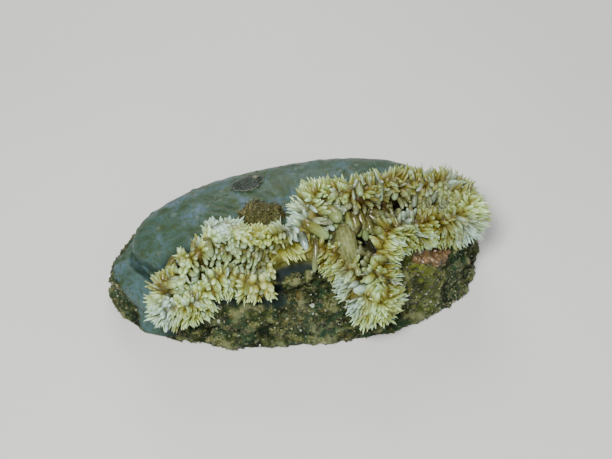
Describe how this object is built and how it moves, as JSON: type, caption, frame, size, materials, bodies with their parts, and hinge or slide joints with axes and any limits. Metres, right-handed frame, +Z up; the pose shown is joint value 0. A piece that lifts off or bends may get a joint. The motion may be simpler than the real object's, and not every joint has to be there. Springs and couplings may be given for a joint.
{
  "type": "daisy anemone",
  "caption": "Life-size still model of a sea anemone folded in a crevice: crusted column, smooth blue-grey collar and a lobed disc edged with short tapering tentacles.",
  "frame": {"origin": "centre of the pedal disc's flat underside, on the floor", "axes": "+X along the column's long axis towards the large lobe, -Y the front where the narrow lobe droops over the rim, +Z up"},
  "size_m": [0.093, 0.0517, 0.0286],
  "materials": {
    "crusted_column": "wet flesh under stuck grit and sediment",
    "smooth_collar": "smooth wet skin with a soft sheen",
    "tentacles": "translucent wet flesh, pale tips",
    "oral_disc": "wet flesh with a soft sheen",
    "shell_chip": "worn shell",
    "weed": "tufted weed and silt"
  },
  "bodies": {
    "root": {"pedal_disc": "crusted_column", "column_wall": "crusted_column", "collar": "smooth_collar", "margin_right": "tentacles", "margin_front": "tentacles", "margin_neck": "tentacles", "margin_left": "tentacles", "oral_disc_right": "oral_disc", "oral_disc_left": "oral_disc", "mouth_lips": "oral_disc", "stuck_shell": "shell_chip", "stuck_weed": "weed"}
  },
  "joints": []
}
